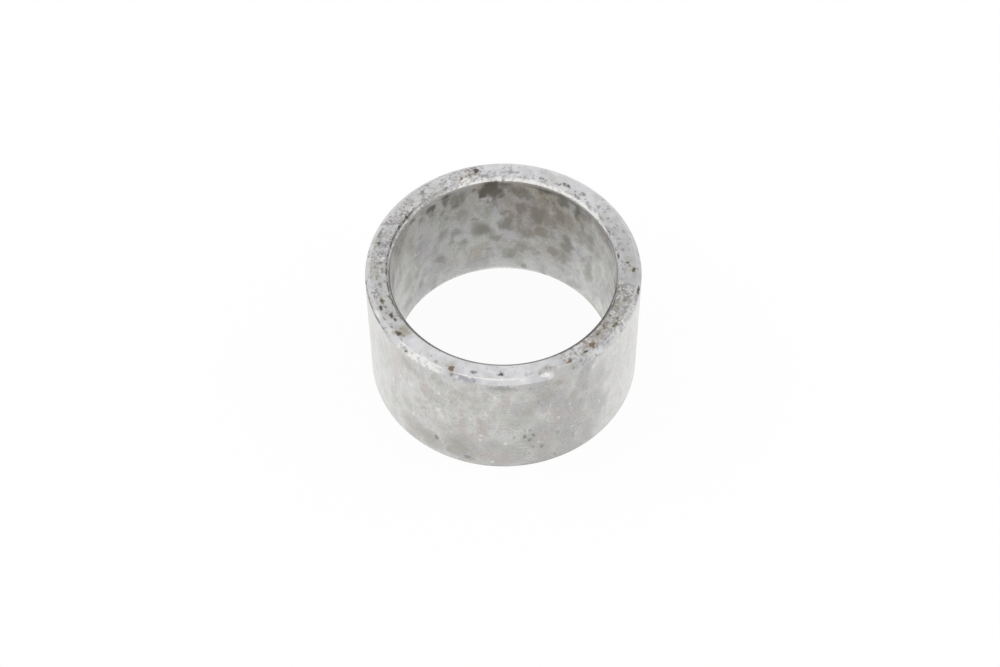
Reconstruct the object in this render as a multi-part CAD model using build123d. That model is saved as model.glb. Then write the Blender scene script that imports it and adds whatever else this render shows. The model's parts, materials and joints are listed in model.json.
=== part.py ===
"""Spacer sleeve: a short turned steel ring that slides on a shaft and holds two parts a set distance apart.

The wall's half section is drawn as a rectangle, its four corners are chamfered, and it is revolved about Z.
The origin is the centre of the lower end face, and +Z runs up the bore. All sizes are in millimetres.
"""

from build123d import *
import os

# Driving dimensions
shaft_diameter = 45.0  # the shaft that the sleeve slides on
shaft_clearance = 0.1  # gap between shaft and bore, on each side
wall = 4.9  # from the bore to the outside
length = 31.5  # the distance that the sleeve holds, end face to end face
outer_chamfer = 1.1  # 45 degree chamfer round the outside of each end
bore_chamfer = 0.9  # 45 degree lead-in at each mouth of the bore

# Worked out from them
bore_radius = shaft_diameter / 2 + shaft_clearance


def wall_section():
    """Half section of the wall in the XZ plane, standing on the lower end face."""
    with BuildSketch(Plane.XZ) as section:
        with Locations((bore_radius, 0)):
            Rectangle(wall, length, align=(Align.MIN, Align.MIN))
        by_radius = section.vertices().group_by(Axis.X)
        chamfer(by_radius[0], bore_chamfer)
        chamfer(by_radius[-1], outer_chamfer)
    return section.sketch


def spacer_sleeve():
    """The section turned once round the Z axis, as it comes off the lathe."""
    sleeve = revolve(wall_section(), axis=Axis.Z, revolution_arc=360)
    sleeve.label = "spacer_sleeve"
    return sleeve


def main():
    os.makedirs("parts", exist_ok=True)
    sleeve = spacer_sleeve()
    export_step(sleeve, "parts/spacer_sleeve.step")
    print("outside diameter", 2 * (bore_radius + wall))
    print("bore diameter", 2 * bore_radius)
    print("length", length)
    print("steel, cubic millimetres", round(sleeve.volume, 1))


main()
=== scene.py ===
# %% [markdown]
# # A worn spacer sleeve
#
# A spacer sleeve is a short steel ring that slides on a shaft and keeps two parts a set distance
# apart. This one was turned on a lathe, has rolled about in a box of used parts for years, and shows
# it: small corrosion pits and rust spots on the end face, a bruised rim, a bore stained by old oil.
# The lesson takes the plain CAD ring as its frame, models the worn ring on the same sizes, and gives
# each of its surfaces the finish that it has on the real thing.

# %% Load the frame
import json
import math
import random

import bmesh
import bpy
import numpy as np
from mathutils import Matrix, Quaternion, Vector, noise
from mathutils.kdtree import KDTree


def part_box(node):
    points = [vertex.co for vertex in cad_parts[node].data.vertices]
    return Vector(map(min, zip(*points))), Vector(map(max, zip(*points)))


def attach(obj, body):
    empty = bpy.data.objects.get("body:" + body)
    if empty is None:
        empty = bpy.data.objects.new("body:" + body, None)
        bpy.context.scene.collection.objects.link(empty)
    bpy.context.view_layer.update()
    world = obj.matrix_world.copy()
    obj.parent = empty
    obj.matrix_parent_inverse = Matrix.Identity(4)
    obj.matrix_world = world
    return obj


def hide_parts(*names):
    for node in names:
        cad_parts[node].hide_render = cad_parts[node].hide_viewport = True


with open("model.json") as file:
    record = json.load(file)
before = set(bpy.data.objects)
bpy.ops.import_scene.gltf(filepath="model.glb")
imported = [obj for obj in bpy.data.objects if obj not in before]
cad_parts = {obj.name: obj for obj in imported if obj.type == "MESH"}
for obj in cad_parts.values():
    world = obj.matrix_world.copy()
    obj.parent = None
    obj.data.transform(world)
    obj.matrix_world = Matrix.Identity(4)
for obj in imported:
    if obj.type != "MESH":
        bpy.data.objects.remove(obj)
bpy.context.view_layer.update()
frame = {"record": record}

MM = 0.001

# %% [markdown]
# ## The sizes
#
# The ring's sizes could be typed in again here, but then two files would have to agree. They come
# from the frame instead: the box gives the length, and the two round mounts give the straight part
# of the bore and of the outside. What is left of the length at each end is chamfer.

# %% Sizes from the frame, in metres
mounts = {mount["name"]: mount["dims"] for mount in frame["record"]["mounts"]}
low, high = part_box("spacer_sleeve")
length = high.z - low.z
outer_radius = mounts["outside"]["r_mm"] * MM
bore_radius = mounts["bore"]["r_mm"] * MM
outer_chamfer = (length - mounts["outside"]["length_mm"] * MM) / 2
bore_chamfer = (length - mounts["bore"]["length_mm"] * MM) / 2
middle_radius = (bore_radius + outer_radius) / 2
print("bore", bore_radius / MM, "outside", outer_radius / MM, "length", round(length / MM, 2))
print("chamfers", round(outer_chamfer / MM, 2), round(bore_chamfer / MM, 2))

# %% [markdown]
# ## The wall's section
#
# A lathe tool meets the ring as one flat outline, the section of its wall, which the work turns
# past. The same outline is drawn here as a single four-cornered face. Beveling a corner as a
# vertex cuts it straight across, which is the chamfer, and a second, very small bevel with a few
# segments takes the sharpness off every edge, as handling has done on the real ring.

# %% Draw the section, chamfer it and dull its edges
EDGE_WEAR = 0.14 * MM


def cut_corners(bm, corners, offset, segments):
    """Bevel the given corners of a flat face: one segment is a chamfer, more is a rounding."""
    bmesh.ops.bevel(
        bm, geom=corners, offset=offset, offset_type="OFFSET", segments=segments,
        profile=0.5, affect="VERTICES", material=-1,
    )


section = bmesh.new()
rectangle = [(bore_radius, low.z), (outer_radius, low.z), (outer_radius, high.z), (bore_radius, high.z)]
section.faces.new([section.verts.new((x, 0, z)) for x, z in rectangle])
cut_corners(section, [v for v in section.verts if v.co.x < middle_radius], bore_chamfer, 1)
cut_corners(section, [v for v in section.verts if v.co.x > outer_radius - EDGE_WEAR], outer_chamfer, 1)
half_way = (low.z + high.z) / 2
upper = [v for v in section.verts if v.co.z > half_way]
lower = [v for v in section.verts if v.co.z < half_way]
cut_corners(section, upper, EDGE_WEAR, 3)
cut_corners(section, lower, EDGE_WEAR, 2)
print("corners of the section:", len(section.verts))

# %% [markdown]
# ## How finely the outline is divided
#
# The wear is modelled by moving vertices, so they have to lie closer together than the smallest
# thing to show. The pits on the upper end are a third of a millimetre across and up, so the rings
# there are a fifth of a millimetre apart. The bore and the outer wall carry slower changes, and
# their rings are further apart. One cut across the outline, a little under the upper chamfers, keeps
# middling rings at the top of both walls, where the rim has been knocked and the oil has dried.

# %% Divide the outline
RIM_HEIGHT = 3.0 * MM
RING_GAPS = {"upper end": 0.2 * MM, "rim": 0.5 * MM, "wall": 0.78 * MM, "lower end": 0.75 * MM}
PAST_CHAMFER = 1.05  # the fine rings go on to just past the chamfer's edge


def zone(point):
    """The name of the stretch of the section that a point lies on."""
    if point.z > high.z - PAST_CHAMFER * outer_chamfer:
        return "upper end"
    if point.z < low.z + PAST_CHAMFER * outer_chamfer:
        return "lower end"
    return "rim" if point.z > high.z - RIM_HEIGHT else "wall"


bmesh.ops.delete(section, geom=section.faces[:], context="FACES_ONLY")
bmesh.ops.bisect_plane(
    section, geom=section.verts[:] + section.edges[:],
    plane_co=(0, 0, high.z - RIM_HEIGHT), plane_no=(0, 0, 1),
)
for edge in section.edges[:]:
    centre = (edge.verts[0].co + edge.verts[1].co) / 2
    cuts = round(edge.calc_length() / RING_GAPS[zone(centre)]) - 1
    if cuts > 0:
        bmesh.ops.subdivide_edges(section, edges=[edge], cuts=cuts)
print("rings:", len(section.verts))

# %% [markdown]
# ## Turn it
#
# `spin` is the lathe: it carries the outline round the Z axis in small steps, here a quarter of a
# millimetre long at the rim. A full turn in one go takes it half a minute, because every step
# searches all that came before. So a first spin makes a sixteenth of the ring, a second one sets
# fifteen copies of that round the axis, and a weld closes the joins. The result is the same closed
# ring, in under a second. The operators hand back the faces in an order that changes from run to
# run, so they are put in one fixed order, by the numbers of their corners.

# %% Spin the section into the ring
STEPS = 720
SECTORS = 16
WELD = 0.001 * MM


def everything(bm):
    """All of a bmesh's vertices, edges and faces, as its operators want them."""
    return bm.verts[:] + bm.edges[:] + bm.faces[:]


def rank(face):
    """A number that no other face has, made from the numbers of three of its corners."""
    first, second, third, *_ = sorted(vert.index for vert in face.verts)
    return (first * len(section.verts) + second) * len(section.verts) + third


axis = {"cent": (0, 0, 0), "axis": (0, 0, 1)}
bmesh.ops.spin(section, geom=everything(section), angle=math.tau / SECTORS, steps=STEPS // SECTORS, **axis)
bmesh.ops.spin(
    section, geom=everything(section), angle=math.tau * (SECTORS - 1) / SECTORS,
    steps=SECTORS - 1, use_duplicate=True, **axis,
)
bmesh.ops.remove_doubles(section, verts=section.verts[:], dist=WELD)
bmesh.ops.recalc_face_normals(section, faces=section.faces[:])
for face in section.faces:
    face.smooth = True
section.verts.index_update()
section.faces.sort(key=rank)
print("open edges:", sum(not edge.is_manifold for edge in section.edges))

mesh = bpy.data.meshes.new("worn_sleeve")
section.to_mesh(mesh)
section.free()
sleeve = bpy.data.objects.new("worn_sleeve", mesh)
bpy.context.scene.collection.objects.link(sleeve)
print("triangles:", 2 * len(mesh.polygons))

# %% [markdown]
# ## Where the wear is
#
# Wear is easiest to place by angle, as on a dial: 0 degrees is +X, the angle grows anticlockwise
# seen from above, and -90 degrees is the front. Each kind of mark is a field, one number between 0
# and 1 for every vertex. A field can sink the surface, and it is kept on the mesh as an attribute,
# which the material reads, so the dark of a pit always sits in its hollow. To find the vertices
# near a mark quickly, they are sorted into a tree by place.

# %% Places on the ring
neighbours = KDTree(len(mesh.vertices))
for vertex in mesh.vertices:
    neighbours.insert(vertex.co, vertex.index)
neighbours.balance()

points = np.array([vertex.co for vertex in mesh.vertices])
radii = np.hypot(points[:, 0], points[:, 1])
angles = np.degrees(np.arctan2(points[:, 1], points[:, 0]))


def at(angle, radius, height):
    """A point by its angle in degrees, and its radius and height in metres."""
    turn = math.radians(angle)
    return Vector((radius * math.cos(turn), radius * math.sin(turn), height))


def on_upper_end(angle, radius_mm):
    """The point of the upper face or its chamfers at an angle and a radius in mm."""
    radius = radius_mm * MM
    into_outer = max(0.0, radius - (outer_radius - outer_chamfer))
    into_bore = max(0.0, bore_radius + bore_chamfer - radius)
    return at(angle, radius, high.z - into_outer - into_bore)


def on_outside(angle, height_mm):
    """The point of the outer wall at an angle and a height in mm."""
    return at(angle, outer_radius, height_mm * MM)


def in_bore(angle, height_mm):
    """The point of the bore at an angle and a height in mm."""
    return at(angle, bore_radius, height_mm * MM)


# %% [markdown]
# ## One mark
#
# A mark could be a round dot, but no pit or stain is round. So the distance to the mark's middle is
# measured from a point that noise has pushed aside, by a slow push that gives the outline bays and
# points, and a quick one that gives it teeth. A mark may be wider than tall, as a knock along an
# edge is, or taller than wide, because oil runs down a wall. Its edge is one of three kinds: crisp
# for a pit or a nick, soft for a film that thins out, and between the two for a drop that has run.
# The noise gets a seed, because without one it starts from the clock, and each run would give the
# marks other outlines.

# %% Marks
BAY = 0.55  # how large the bays and points of a mark's outline are, as a share of its smaller side
BAY_REACH = 0.33  # how far they reach, as a share of its smaller side
TOOTH = 0.45 * MM  # the size of the finer teeth on that outline
TOOTH_REACH = 0.25 * MM  # how far they reach
TOOTH_SHARE = 0.3  # and no further than this share of the mark's smaller side
CRISP = (2.5, 1.25)  # how steeply a mark's edge fades, and how far out it ends, as a share of its size
SOFT = (1.8, 1.0)
RUN = (1.8, 1.45)
NOISE_SEED = 4

noise.seed_set(NOISE_SEED)


def nothing():
    """A field with no marks in it yet."""
    return np.zeros(len(points))


def mark(field, place, width, strength=1.0, tall=None, edge=CRISP):
    """Raise a field to strength at a place, fading to nothing outwards, with a ragged outline.

    The width is measured round the ring, and the height across it: upwards on a wall, outwards on
    an end.
    """
    tall = tall or width
    size = min(width, tall)
    bite = min(TOOTH_REACH, TOOTH_SHARE * size)
    around = Vector((-place.y, place.x, 0)).normalized()
    steepness, reach = edge
    for co, index, _ in neighbours.find_range(place, reach * max(width, tall)):
        bay = noise.noise_vector(co / (BAY * size)) * BAY_REACH * size
        tooth = noise.noise_vector(co / TOOTH) * bite
        offset = co + bay + tooth - place
        along = offset.dot(around)
        across = (offset - along * around).length
        fade = steepness * (1 - 2 * math.hypot(along / width, across / tall) / reach)
        field[index] = max(field[index], strength * min(1.0, max(0.0, fade)))


def marks(field, where, rows, edge=CRISP, scale=1.0):
    """Add marks from rows, all drawn at one scale.

    A row has the angle, the radius or height in mm, the width in mm, the strength, and the height
    of the mark in mm where it isn't the width.
    """
    for angle, position, width, strength, *tall in rows:
        sides = [side * scale * MM for side in tall]
        mark(field, where(angle, position), width * scale * MM, strength, *sides, edge=edge)
    return field


# %% [markdown]
# ## Corrosion pits
#
# Pitting starts where water sits, so it comes in clusters. The large pits are listed one by one,
# going round the ring, because they are what the eye knows this ring by.

# %% Large pits on the upper end
END_PITS = [  # angle, radius mm, width mm, strength, height of the mark in mm
    # the dull left side
    (-178.8, 26.2, 0.7, 0.6), (-175.4, 25.1, 0.6, 0.5), (-172, 23.6, 1.0, 0.7, 0.6),
    (-171, 24.8, 1.0, 0.7), (-169.4, 24.6, 0.7, 0.6), (-165.6, 27.2, 0.8, 0.7, 0.5),
    (-162.8, 23.4, 1.2, 0.8, 0.8), (-158, 25.9, 1.5, 0.95, 0.8), (-158.1, 24.95, 0.8, 0.8, 0.6),
    (-158.8, 23.3, 1.1, 0.6, 0.6), (-157.4, 26.7, 1.2, 0.4, 0.4), (-154.7, 25.4, 0.8, 0.7, 0.5),
    (-152.7, 24.75, 1.5, 0.95, 0.9), (-149.9, 24.6, 1.4, 1, 0.9), (-151, 23.8, 0.6, 0.6, 1.0),
    (-149.5, 23.3, 1.3, 0.6, 1.0), (-147.2, 25.8, 1.2, 0.35, 0.8), (-153.2, 23.4, 0.9, 0.5),
    (-163.8, 24.0, 0.7, 0.4),
    # the clean front
    (-139.5, 26.2, 1.4, 0.6, 0.5), (-135.8, 27.0, 0.8, 0.6, 0.6), (-128.5, 26.0, 0.9, 0.4),
    (-120.6, 26.0, 1.0, 0.65, 0.9), (-103, 25.6, 1.2, 0.75, 0.9), (-102.4, 24.1, 2.0, 0.25, 0.9),
    (-108, 24.4, 2.2, 0.25, 1.2), (-95.6, 26.2, 1.6, 0.45, 0.35), (-91.2, 25.5, 1.5, 0.85, 0.9),
    (-92.6, 25.5, 0.9, 0.65, 0.6), (-91.5, 24.8, 0.7, 0.4, 0.9), (-89.4, 26.1, 0.6, 0.5, 0.4),
    (-87.5, 25.8, 1.2, 0.3, 1.0), (-80, 25.9, 1.5, 0.45, 1.0), (-78.2, 25.8, 0.9, 0.45, 0.8),
    (-77.6, 24.8, 0.8, 0.25, 2.0), (-97.8, 24.2, 0.8, 0.3, 0.6),
    # the rusty right side
    (-74.4, 26.0, 0.9, 0.5, 0.6), (-72.4, 25.6, 0.9, 0.4, 0.6), (-71, 25.3, 1.0, 0.5, 0.7),
    (-68.5, 25.8, 1.6, 0.45, 0.8), (-58, 25.7, 0.8, 0.6, 0.7), (-40.9, 24.2, 1.3, 0.35, 0.8),
    (-39.4, 26.2, 1.4, 0.5, 0.4), (-29.2, 23.9, 0.9, 0.7, 0.6), (-25, 24.8, 1.6, 0.6, 0.8),
    (-24.6, 26.1, 0.9, 0.6, 0.6), (-15.9, 26.0, 1.6, 0.55, 0.5), (-14.9, 27.1, 0.8, 0.7, 0.5),
    (-10.8, 27.15, 2.1, 1, 0.8), (-13.6, 24.3, 0.9, 0.65, 0.6), (-10.9, 24.2, 0.9, 0.6, 0.6),
    (-9.7, 25.5, 0.5, 0.6, 1.4), (-10.2, 26.3, 0.6, 0.5, 0.8), (-22, 23.2, 2.0, 0.7, 0.5),
    (-18.9, 23.9, 0.9, 0.5, 0.6), (-44, 24.3, 0.9, 0.5), (-23.4, 27.2, 0.9, 0.5, 0.4),
    (-52.8, 25.4, 0.9, 0.5, 1.2),
    # the right end
    (-0.6, 26.75, 1.0, 0.7, 0.5), (0.8, 25.1, 0.5, 0.7), (2.5, 24.8, 1.1, 0.8, 0.8),
    (4.2, 25.4, 1.5, 0.35, 0.4), (7.6, 27.2, 1.0, 0.6, 0.4), (10.2, 24.4, 0.9, 0.65, 0.7),
    (14.6, 24.9, 1.0, 0.3, 0.6), (18, 24.4, 1.0, 0.25, 0.7), (20.2, 25.85, 1.1, 0.6, 0.7),
    (23.8, 24.5, 0.8, 0.6, 0.7), (29.2, 24.0, 0.9, 0.35, 0.5), (7.8, 23.05, 1.6, 0.9, 0.55),
    (12.2, 22.95, 1.0, 0.7, 0.45), (24.6, 23.1, 2.8, 0.65, 0.55), (32, 23.35, 1.5, 0.6, 0.5),
    (34, 24.6, 0.9, 0.55, 0.8), (35.4, 24.8, 0.4, 0.5), (38.4, 24.6, 1.1, 0.65, 0.8),
    (40.4, 26.9, 0.9, 0.5, 1.0), (42, 23.2, 1.5, 0.7, 0.45),
    # the far side
    (48.3, 24.7, 1.3, 0.75, 0.9), (49.7, 24.2, 0.8, 0.6, 0.6), (49.7, 23.3, 1.9, 0.7, 0.5),
    (58.2, 24.6, 2.0, 0.8, 0.9), (56, 24.2, 1.2, 0.4, 0.7), (61.7, 23.9, 1.0, 0.75, 0.6),
    (69.6, 23.3, 1.8, 0.55, 0.45), (64.6, 23.2, 1.0, 0.4, 0.35), (71.3, 25.7, 2.1, 0.35, 1.1),
    (77, 25.2, 0.8, 0.25, 0.5), (81.4, 23.35, 1.1, 0.7, 0.5), (85.5, 24.5, 1.7, 0.5, 0.9),
    (86.3, 25.4, 0.7, 0.55, 1.3), (89.2, 23.3, 0.9, 0.7, 0.5), (94, 24.1, 0.5, 0.6, 1.3),
    (94.7, 23.4, 1.1, 0.7, 0.45), (97.3, 23.9, 1.3, 0.3, 1.2), (102.6, 25.5, 1.5, 1, 1.1),
    (103.6, 24.9, 0.9, 0.6, 0.7), (102.8, 23.4, 0.8, 0.6, 0.4), (106, 24.6, 1.1, 0.75, 0.9),
    (110.2, 24.3, 0.9, 0.75, 1.0), (111.5, 23.35, 0.9, 0.6, 0.4), (115.3, 25.2, 0.9, 0.6, 0.7),
    (117.9, 24.9, 1.0, 0.6, 0.9), (113.5, 24.3, 0.7, 0.5), (120.3, 23.3, 1.3, 0.75, 0.5),
    (121.2, 24.2, 0.7, 0.45), (124.4, 26.2, 1.0, 0.45, 0.6), (126, 26.0, 1.1, 0.45, 0.5),
    (127.2, 25.4, 0.9, 0.45, 0.5), (130.3, 25.0, 1.1, 0.75, 1.1), (131.4, 24.2, 1.0, 0.5, 0.7),
    (132.1, 25.3, 0.5, 0.6), (132.2, 23.3, 1.3, 0.65, 0.5), (137.4, 24.9, 1.4, 0.6, 0.9),
    (139.3, 24.4, 0.9, 0.5, 0.7), (143.2, 24.7, 1.1, 0.4, 0.7), (141.7, 23.3, 1.3, 0.8, 0.5),
    (146.2, 23.4, 1.4, 1, 0.55), (151.7, 24.5, 1.3, 0.55, 0.7), (150.7, 26.4, 1.9, 0.5, 0.4),
    (158.1, 26.2, 0.7, 0.6), (153.3, 23.35, 0.9, 1, 0.5), (158.4, 24.2, 0.8, 0.65, 0.6),
    (156.2, 23.3, 1.0, 0.8, 0.4), (161.8, 23.3, 1.2, 0.8, 0.4), (165.8, 25.6, 2.0, 0.75, 0.7),
    (168.3, 25.25, 0.8, 0.6, 0.5), (162, 24.6, 0.6, 0.5), (164.3, 24.4, 0.6, 0.5),
    (167, 24.1, 0.9, 0.7, 0.6), (169.8, 27.35, 0.5, 0.9, 0.3), (172.8, 27.0, 0.9, 0.7, 0.4),
    (172, 25.15, 0.9, 0.8, 0.6), (174.5, 25.45, 0.8, 0.55), (170, 24.45, 0.8, 0.5, 0.5),
    (176.7, 24.4, 1.1, 0.7, 0.9), (-178.4, 24.9, 0.6, 0.4), (-174, 25.9, 0.6, 0.3),
]
pits_and_shade = marks(nothing(), on_upper_end, END_PITS)
print("large pits:", len(END_PITS))

# %% [markdown]
# ## Small pits between them
#
# No one would place hundreds of small pits by hand. Each stretch of the ring gets its own number of
# them at random places, from a seeded generator, so that every run makes the same ring. The same
# function strews the small drops in the bore later on.

# %% Small pits on the upper end
SCATTER = [  # from and to in degrees, how many, inner and outer radius in mm, widest in mm, strength
    (95, 178, 210, 23.4, 26.9, 0.85, 0.6),
    (178, 200, 25, 23.4, 26.9, 0.8, 0.5),
    (-62, -9, 150, 23.3, 27.2, 1.2, 0.68),
    (88, 165, 70, 22.8, 23.6, 0.8, 0.8),
    (20, 88, 30, 22.8, 23.6, 0.8, 0.7),
    (-9, 95, 80, 23.3, 24.6, 0.8, 0.8),
    (-9, 95, 20, 24.5, 26.8, 0.6, 0.5),
    (-160, -141, 30, 23.6, 27.0, 0.8, 0.5),
    (-141, -62, 24, 23.6, 26.4, 0.6, 0.4),
]
NARROWEST_PIT = 0.35  # mm
PIT_FLATNESS = (0.5, 1.0)  # a small pit's height, as a share of its width
FAINTEST = 0.5  # as a share of the strength in the row
SEED = 11

chance = random.Random(SEED)


def strew(field, where, rows, narrowest, shape):
    """Add marks at random places, so many to each stretch, with a width and a shape within limits."""
    for start, end, count, nearest, farthest, widest, strength in rows:
        for _ in range(count):
            place = where(chance.uniform(start, end), chance.uniform(nearest, farthest))
            width = chance.uniform(narrowest, widest) * MM
            mark(field, place, width, strength * chance.uniform(FAINTEST, 1), width * chance.uniform(*shape))


strew(pits_and_shade, on_upper_end, SCATTER, NARROWEST_PIT, PIT_FLATNESS)
print("small pits:", sum(row[2] for row in SCATTER), "vertices in pits:", int((pits_and_shade > 0).sum()))

# %% [markdown]
# ## Rust and dried oil
#
# Where a pit has stayed damp the steel has gone on rusting, so the brown spots sit on or beside
# pits. Old oil has dried olive-black in others. Both are colour more than shape, so each is a field
# of its own.

# %% Rust and oil on the upper end
END_RUST = [  # angle, radius mm, width mm, strength, height of the mark in mm
    (-112.5, 26.35, 1.3, 1, 1.0), (-113.2, 25.8, 1.3, 0.9, 1.2), (-112.0, 27.0, 0.9, 0.65, 0.9),
    (-114.6, 25.7, 1.6, 0.6, 0.9), (-112.8, 25.2, 1.8, 0.4, 1.0), (-112.6, 26.4, 3.0, 0.3, 2.6),
    (-141.3, 25.6, 1.6, 0.75, 0.7), (-140.1, 25.3, 1.0, 0.8, 0.6), (-141, 24.5, 2.8, 0.5, 1.6),
    (-138.8, 24.9, 1.8, 0.3, 1.6), (-74, 26.1, 1.8, 0.35), (-71, 25.5, 2.4, 0.4, 1.4),
    (-68.8, 25.9, 2.2, 0.4, 1.2), (-60.6, 25.85, 1.7, 1, 1.0), (-62.4, 25.6, 1.2, 0.5),
    (-58.2, 25.7, 1.0, 0.5), (-58, 24.8, 1.6, 0.3), (-47.3, 25.2, 1.4, 1, 1.3), (-48.1, 25.9, 0.9, 0.7),
    (-46.2, 25.6, 0.9, 0.7, 0.7), (-48.8, 24.5, 1.0, 0.7, 0.7), (-47, 24.9, 4.2, 0.5, 3.0),
    (-46.4, 23.9, 2.2, 0.55, 0.9), (-43.6, 24.3, 1.6, 0.5), (-42, 24.9, 1.8, 0.55),
    (-36.4, 24.4, 3.2, 0.7, 1.1), (-34.4, 24.9, 1.6, 0.5, 1.0), (-38.6, 24.9, 2.0, 0.4),
    (-33, 23.9, 2.4, 0.35, 0.9), (-28.6, 25.0, 1.8, 0.4, 1.2), (-30.5, 23.6, 2.2, 0.35, 0.8),
    (106, 24.5, 2.2, 0.55, 1.8), (106, 23.6, 1.6, 0.5, 0.6), (103.6, 24.9, 1.4, 0.5, 1.0),
    (110.2, 24.2, 1.3, 0.6, 1.3), (139, 24.9, 2.2, 0.3), (151.6, 24.5, 1.8, 0.4, 1.0),
    (176.6, 24.4, 1.8, 0.3), (174.4, 25.6, 1.6, 0.3), (24.8, 23.1, 2.6, 0.35, 0.6),
    (49.8, 23.4, 2.0, 0.4, 0.5), (55, 23.2, 1.2, 0.5, 0.6), (107.6, 24.2, 3.2, 0.2),
]
END_OIL = [  # in the same order
    (-142.9, 25.85, 1.7, 1, 1.0), (-144.2, 26.4, 1.4, 0.6, 0.8), (-141.6, 25.5, 1.2, 0.75, 0.7),
    (-145.4, 26.8, 1.2, 0.4, 0.5), (-142.4, 24.4, 3.6, 0.5, 2.0), (-144.8, 25.2, 1.8, 0.3, 1.4),
    (-161.4, 25.1, 2.4, 0.8, 0.9), (-160, 25.0, 1.1, 0.6, 0.6), (-163.6, 25.2, 1.4, 0.4, 0.8),
    (-54.3, 25.7, 1.0, 0.55, 1.4), (-53, 26.1, 2.2, 0.5, 0.9), (-51.7, 25.75, 1.4, 0.9, 0.8),
    (-41.6, 25.1, 2.2, 0.5, 1.2), (-40.9, 24.2, 1.5, 0.75, 0.9), (-32.6, 25.8, 1.8, 0.85, 1.0),
    (-30.6, 25.4, 1.6, 0.6, 1.1), (-33.8, 26.2, 1.0, 0.6, 0.6), (-22.4, 24.3, 3.0, 0.5, 1.4),
    (-18.2, 25.2, 1.6, 0.6, 1.3), (-18.8, 24.0, 1.4, 0.45, 0.8), (-1.4, 25.95, 1.5, 0.85, 0.9),
    (-2.4, 26.0, 3.0, 0.4, 1.2), (148.8, 25.1, 1.4, 0.35, 1.2), (145.4, 22.9, 2.0, 0.4, 0.5),
    (131, 24.3, 2.0, 0.3), (58.4, 24.4, 2.4, 0.25, 1.2), (-6, 23.4, 3.0, 0.3, 0.8),
]
rust = marks(nothing(), on_upper_end, END_RUST)
oil = marks(nothing(), on_upper_end, END_OIL)
print("rusty and oily spots on the upper end:", len(END_RUST) + len(END_OIL))

# %% [markdown]
# ## Stains in the bore
#
# The shaft left oil in the bore. Three things are set apart here: wide soft washes, where a thin
# film has browned, stains with a clear outline, where a drop has dried, and near-black oil, thick
# along the far upper edge. Small drops are strewn between the large stains. All of them lie on the
# steel and have no depth, so they are colour alone.

# %% Stain the bore
BORE_WASHES = [  # angle, height mm, width mm, strength, height of the mark in mm
    (90, 29, 22.0, 0.8, 9.0), (76, 20, 15.0, 0.75, 22.0), (58, 21, 13.0, 0.75, 20.0),
    (106, 28, 11.0, 0.4, 10.0), (128, 28, 12.0, 0.3, 9.0), (158, 27, 11.0, 0.6, 12.0),
    (46, 26, 13.0, 0.6, 11.0), (70, 28, 14.0, 0.75, 8.0), (84, 9, 13.0, 0.4, 10.0),
    (62, 10, 11.0, 0.5, 13.0), (26, 29, 11.0, 0.6, 6.0), (14, 28, 8.0, 0.4, 8.0),
    (104, 8, 8.0, 0.6, 8.0), (60, 27, 9.0, 0.6, 8.0),
]
BORE_STAINS = [
    # right of the middle
    (80.5, 22.3, 3.0, 0.8, 4.4), (71.5, 21.0, 3.6, 0.85, 6.8), (75, 23.0, 2.0, 0.6, 1.8),
    (90.5, 20.0, 1.6, 0.7, 1.8), (88, 20.9, 2.4, 0.7, 1.0), (85.5, 19.5, 1.2, 0.6, 2.4),
    (86.4, 18.0, 1.6, 0.6, 1.6), (88, 16.4, 3.3, 0.75, 6.0), (81.3, 18.0, 1.6, 0.55, 6.0),
    (77.5, 14.2, 4.6, 0.6, 3.4), (70, 15.8, 4.2, 0.65, 4.0), (75, 12.9, 4.6, 0.4, 1.4),
    (66, 20.0, 2.0, 0.55, 6.0), (79.5, 9.3, 4.2, 0.55, 5.0), (71, 8.0, 1.6, 0.45, 1.5),
    (71, 11.0, 2.0, 0.4, 4.4), (78.8, 2.3, 1.6, 0.6, 2.4), (87, 24.2, 4.2, 0.45, 3.4),
    (88.5, 6.8, 5.2, 0.45, 4.6), (69, 24.2, 3.2, 0.4, 7.0),
    # left of the middle
    (101, 15.3, 5.6, 0.7, 6.2), (105, 19.0, 2.2, 0.65, 1.5), (94.5, 11.8, 3.4, 0.7, 2.6),
    (97.5, 21.6, 2.4, 0.4, 4.4), (98, 8.2, 2.0, 0.5, 2.2), (103, 6.4, 2.0, 0.35, 1.8),
    (112, 11.5, 3.0, 0.5, 5.4), (111, 22.7, 3.0, 0.45, 4.0), (123.7, 25.0, 1.8, 0.55, 2.0),
    (120, 22.5, 2.0, 0.55, 2.0), (124, 18.0, 2.8, 0.5, 4.8), (116.5, 16.5, 2.4, 0.55, 3.8),
    (118.8, 13.7, 1.7, 0.6, 2.1), (125.5, 10.3, 2.2, 0.5, 4.6), (117, 9.0, 2.0, 0.35, 3.6),
    (127.6, 20.4, 1.8, 0.35, 1.8), (130, 13.0, 2.8, 0.25, 4.8), (138.5, 21.8, 1.4, 0.6, 1.4),
    (139.6, 6.7, 2.0, 0.5, 2.8), (144.5, 16.8, 1.0, 0.6, 1.4), (142, 16.8, 1.2, 0.55, 1.2),
    (149, 17.0, 1.2, 0.4, 2.4), (155, 27.6, 1.6, 0.4, 3.4), (162.5, 28.4, 2.8, 0.5, 3.4),
    # the right end
    (64, 19.5, 4.2, 0.6, 3.4), (58, 22.9, 3.0, 0.7, 4.2), (52.5, 22.5, 2.2, 0.5, 6.6),
    (44.3, 23.4, 1.2, 0.7, 1.0), (42, 21.0, 5.4, 0.55, 5.6), (53.5, 15.0, 3.0, 0.75, 6.6),
    (63, 15.5, 2.0, 0.5, 4.0), (62, 10.3, 3.0, 0.6, 4.0), (55.5, 10.0, 3.0, 0.5, 6.0),
    (42, 13.0, 1.5, 0.45, 4.0), (35, 17.0, 3.0, 0.3, 6.0), (28, 21.6, 2.0, 0.25, 3.6),
]
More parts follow.
